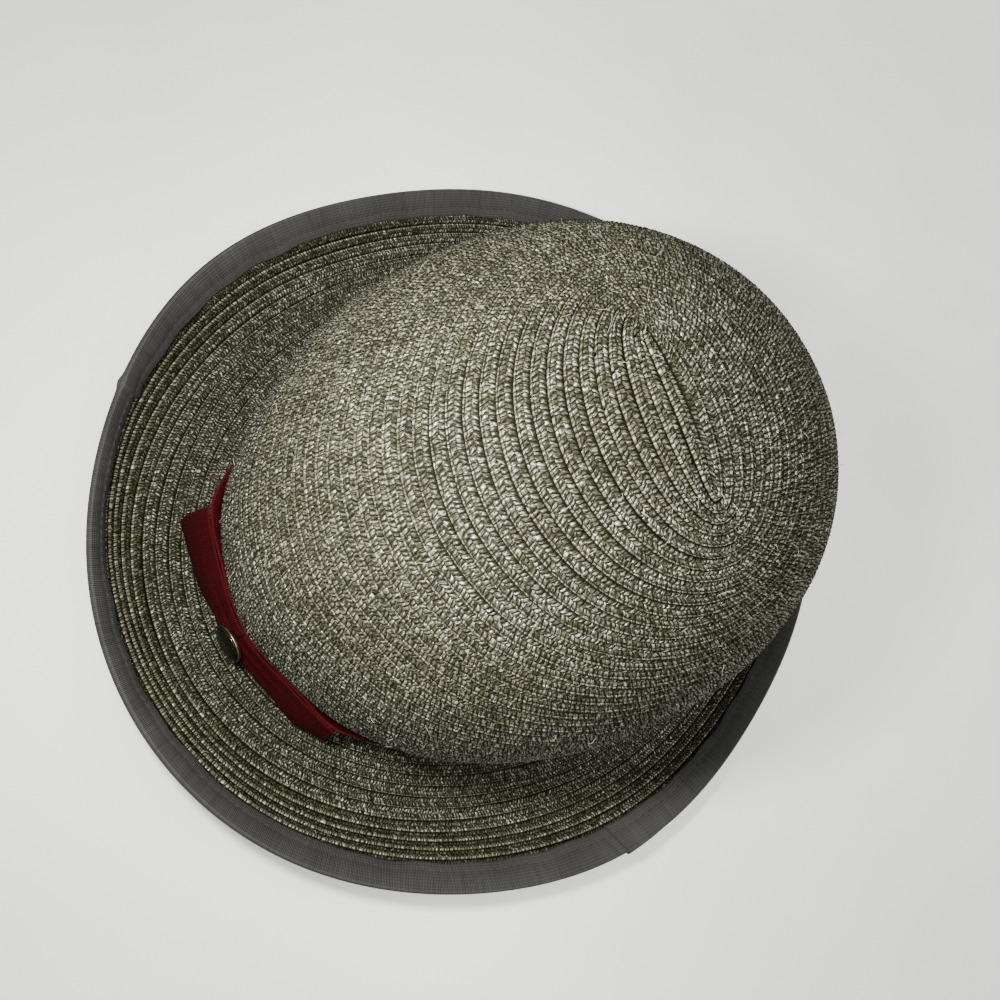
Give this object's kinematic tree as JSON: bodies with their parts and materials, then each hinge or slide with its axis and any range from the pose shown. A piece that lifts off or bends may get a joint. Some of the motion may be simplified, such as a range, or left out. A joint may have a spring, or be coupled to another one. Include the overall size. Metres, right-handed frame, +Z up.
{
  "type": "sewn straw hat with rolled brim",
  "caption": "Round-crowned hat of sewn straw braid with a bound, rolled-up brim, a ribbon band and a flat bow held by a button; rests on its brim.",
  "frame": {"origin": "on the surface that the hat stands on, under the middle of the whole hat", "axes": "+Z up along the crown, -Y to the front of the hat, +Y to the back with the bow, +X to the wearer's left"},
  "size_m": [0.254, 0.2715, 0.131],
  "materials": {
    "crown_braid": "sewn paper-straw braid, heathered olive grey with pale strands",
    "brim_braid": "sewn paper-straw braid, heathered olive green, darker towards the edge",
    "grey_ribbon": "ribbed grey grosgrain ribbon, matt",
    "red_ribbon": "finely ribbed burgundy grosgrain ribbon, matt",
    "dark_plastic": "dark polished button",
    "bronze": "thin bronze-coloured metal ring, worn satin"
  },
  "bodies": {
    "root": {"crown": "crown_braid", "brim": "brim_braid", "edge_binding": "grey_ribbon", "hat_band": "red_ribbon", "bow_wing_right": "red_ribbon", "bow_wing_left": "red_ribbon", "button": "dark_plastic", "button_rim": "bronze"}
  },
  "joints": []
}
